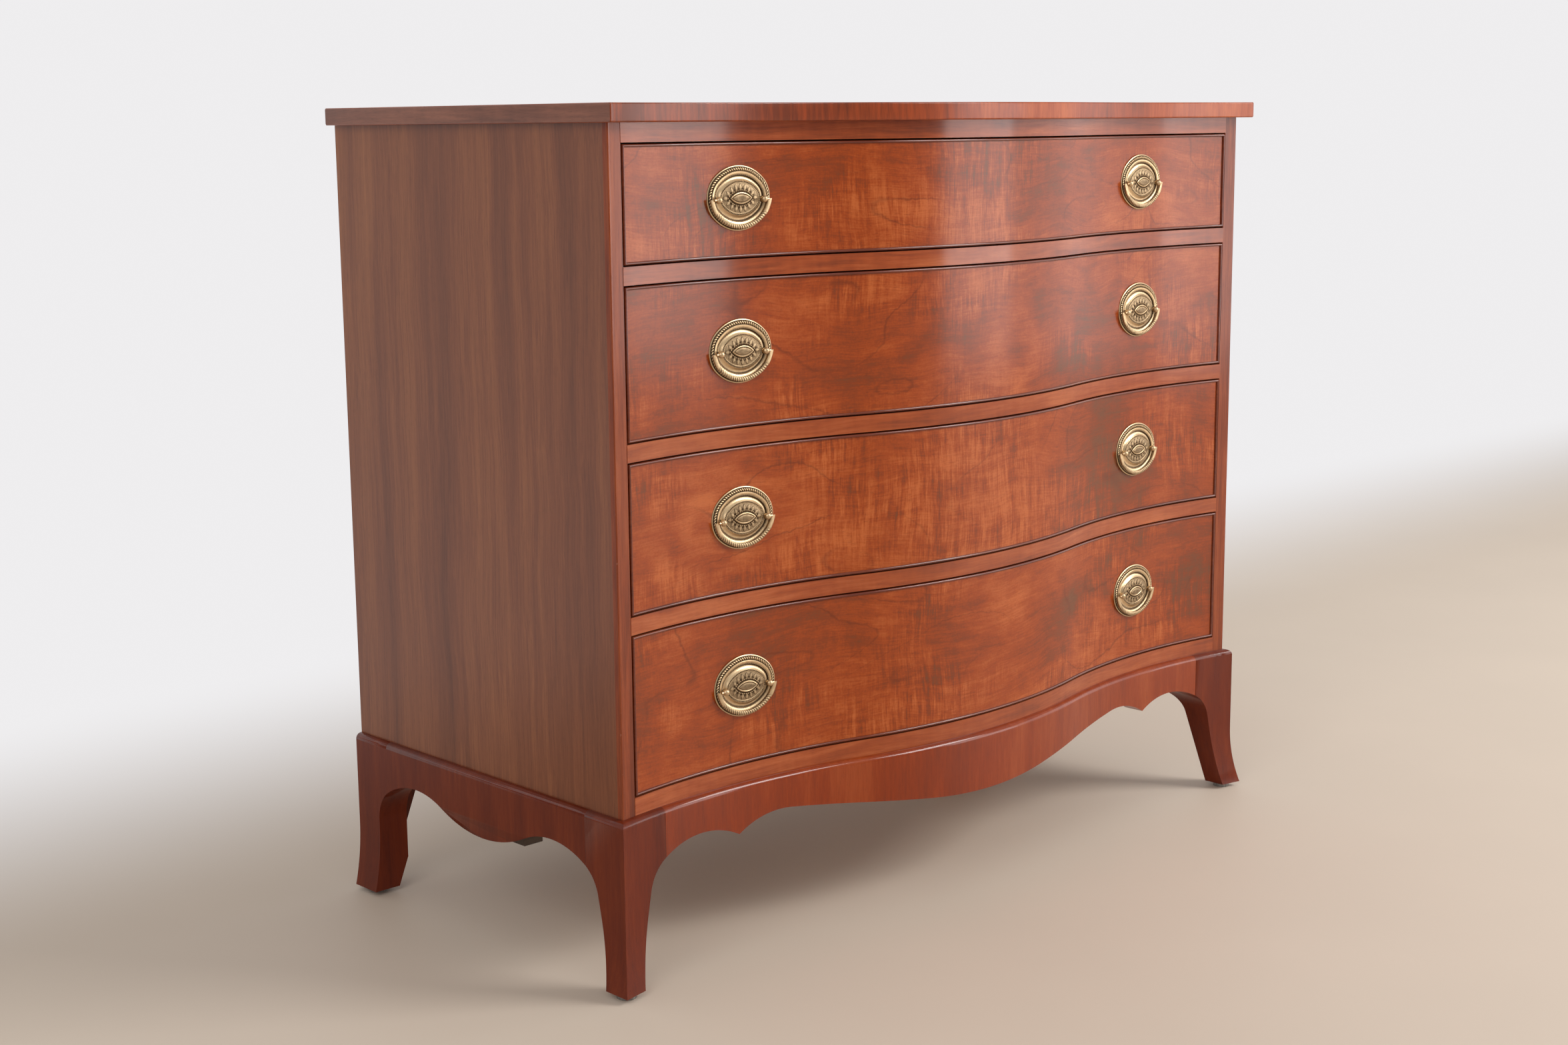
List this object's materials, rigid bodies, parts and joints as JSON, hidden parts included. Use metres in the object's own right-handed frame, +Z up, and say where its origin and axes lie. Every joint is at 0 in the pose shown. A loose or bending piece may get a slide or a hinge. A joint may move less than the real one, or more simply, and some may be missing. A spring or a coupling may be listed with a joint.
{
  "type": "chest of drawers",
  "caption": "Serpentine-front chest of drawers in figured red-brown wood, with beaded drawers, oval bail pulls and flared bracket feet.",
  "frame": {"origin": "on the floor, under the middle of the chest", "axes": "+X to the right as seen from the front, +Y towards the back, +Z up; drawers open along -Y"},
  "size_m": [1.081, 0.5369, 0.914],
  "materials": {
    "top_wood": "gloss lacquer, red-brown",
    "side_wood": "satin lacquer, upright ribbon grain",
    "rail_wood": "satin lacquer",
    "drawer_wood": "gloss lacquer over flame figure",
    "bead_wood": "gloss lacquer",
    "base_wood": "satin lacquer, upright grain",
    "inside_wood": "plain, unpolished",
    "brass": "antique, rubbed",
    "glide_metal": "dull"
  },
  "bodies": {
    "case": {"top_board": "top_wood", "left_side": "side_wood", "right_side": "side_wood", "left_stile": "rail_wood", "right_stile": "rail_wood", "top_rail": "rail_wood", "divider_rail_1": "rail_wood", "divider_rail_2": "rail_wood", "divider_rail_3": "rail_wood", "bottom_rail": "rail_wood", "bottom_board": "inside_wood", "back_panel": "inside_wood", "drawer_runners": "inside_wood", "drawer_stops": "inside_wood", "glue_blocks": "inside_wood", "back_base_rail": "inside_wood", "front_apron": "base_wood", "left_apron": "base_wood", "right_apron": "base_wood", "foot_front_left": "base_wood", "foot_front_right": "base_wood", "foot_back_left": "base_wood", "foot_back_right": "base_wood", "floor_glides": "glide_metal"},
    "drawer_1": {"drawer_1_front": "drawer_wood", "drawer_1_bead": "bead_wood", "drawer_1_sides": "inside_wood", "drawer_1_back": "inside_wood", "drawer_1_bottom": "inside_wood", "drawer_1_pull_plates": "brass", "drawer_1_pull_posts": "brass"},
    "drawer_1_left_bail": {"drawer_1_left_bail": "brass"},
    "drawer_1_right_bail": {"drawer_1_right_bail": "brass"},
    "drawer_2": {"drawer_2_front": "drawer_wood", "drawer_2_bead": "bead_wood", "drawer_2_sides": "inside_wood", "drawer_2_back": "inside_wood", "drawer_2_bottom": "inside_wood", "drawer_2_pull_plates": "brass", "drawer_2_pull_posts": "brass"},
    "drawer_2_left_bail": {"drawer_2_left_bail": "brass"},
    "drawer_2_right_bail": {"drawer_2_right_bail": "brass"},
    "drawer_3": {"drawer_3_front": "drawer_wood", "drawer_3_bead": "bead_wood", "drawer_3_sides": "inside_wood", "drawer_3_back": "inside_wood", "drawer_3_bottom": "inside_wood", "drawer_3_pull_plates": "brass", "drawer_3_pull_posts": "brass"},
    "drawer_3_left_bail": {"drawer_3_left_bail": "brass"},
    "drawer_3_right_bail": {"drawer_3_right_bail": "brass"},
    "drawer_4": {"drawer_4_front": "drawer_wood", "drawer_4_bead": "bead_wood", "drawer_4_sides": "inside_wood", "drawer_4_back": "inside_wood", "drawer_4_bottom": "inside_wood", "drawer_4_pull_plates": "brass", "drawer_4_pull_posts": "brass"},
    "drawer_4_left_bail": {"drawer_4_left_bail": "brass"},
    "drawer_4_right_bail": {"drawer_4_right_bail": "brass"}
  },
  "joints": [
    {"name": "drawer_1_slide", "type": "slide", "parent": "case", "child": "drawer_1", "axis": [0, -1, 0], "range_m": [0, 0.36]},
    {"name": "drawer_1_left_bail_swing", "type": "hinge", "parent": "drawer_1", "child": "drawer_1_left_bail", "pos_m": [-0.34033, -0.20929, 0.81535], "axis": [-0.9987, 0.0516, 0], "range_deg": [-2, 170]},
    {"name": "drawer_1_right_bail_swing", "type": "hinge", "parent": "drawer_1", "child": "drawer_1_right_bail", "pos_m": [0.34033, -0.20929, 0.81535], "axis": [-0.9987, -0.0516, 0], "range_deg": [-2, 170]},
    {"name": "drawer_2_slide", "type": "slide", "parent": "case", "child": "drawer_2", "axis": [0, -1, 0], "range_m": [0, 0.36]},
    {"name": "drawer_2_left_bail_swing", "type": "hinge", "parent": "drawer_2", "child": "drawer_2_left_bail", "pos_m": [-0.34033, -0.20929, 0.6566], "axis": [-0.9987, 0.0516, 0], "range_deg": [-2, 170]},
    {"name": "drawer_2_right_bail_swing", "type": "hinge", "parent": "drawer_2", "child": "drawer_2_right_bail", "pos_m": [0.34033, -0.20929, 0.6566], "axis": [-0.9987, -0.0516, 0], "range_deg": [-2, 170]},
    {"name": "drawer_3_slide", "type": "slide", "parent": "case", "child": "drawer_3", "axis": [0, -1, 0], "range_m": [0, 0.36]},
    {"name": "drawer_3_left_bail_swing", "type": "hinge", "parent": "drawer_3", "child": "drawer_3_left_bail", "pos_m": [-0.34033, -0.20929, 0.4791], "axis": [-0.9987, 0.0516, 0], "range_deg": [-2, 170]},
    {"name": "drawer_3_right_bail_swing", "type": "hinge", "parent": "drawer_3", "child": "drawer_3_right_bail", "pos_m": [0.34033, -0.20929, 0.4791], "axis": [-0.9987, -0.0516, 0], "range_deg": [-2, 170]},
    {"name": "drawer_4_slide", "type": "slide", "parent": "case", "child": "drawer_4", "axis": [0, -1, 0], "range_m": [0, 0.36]},
    {"name": "drawer_4_left_bail_swing", "type": "hinge", "parent": "drawer_4", "child": "drawer_4_left_bail", "pos_m": [-0.34033, -0.20929, 0.29535], "axis": [-0.9987, 0.0516, 0], "range_deg": [-2, 170]},
    {"name": "drawer_4_right_bail_swing", "type": "hinge", "parent": "drawer_4", "child": "drawer_4_right_bail", "pos_m": [0.34033, -0.20929, 0.29535], "axis": [-0.9987, -0.0516, 0], "range_deg": [-2, 170]}
  ]
}
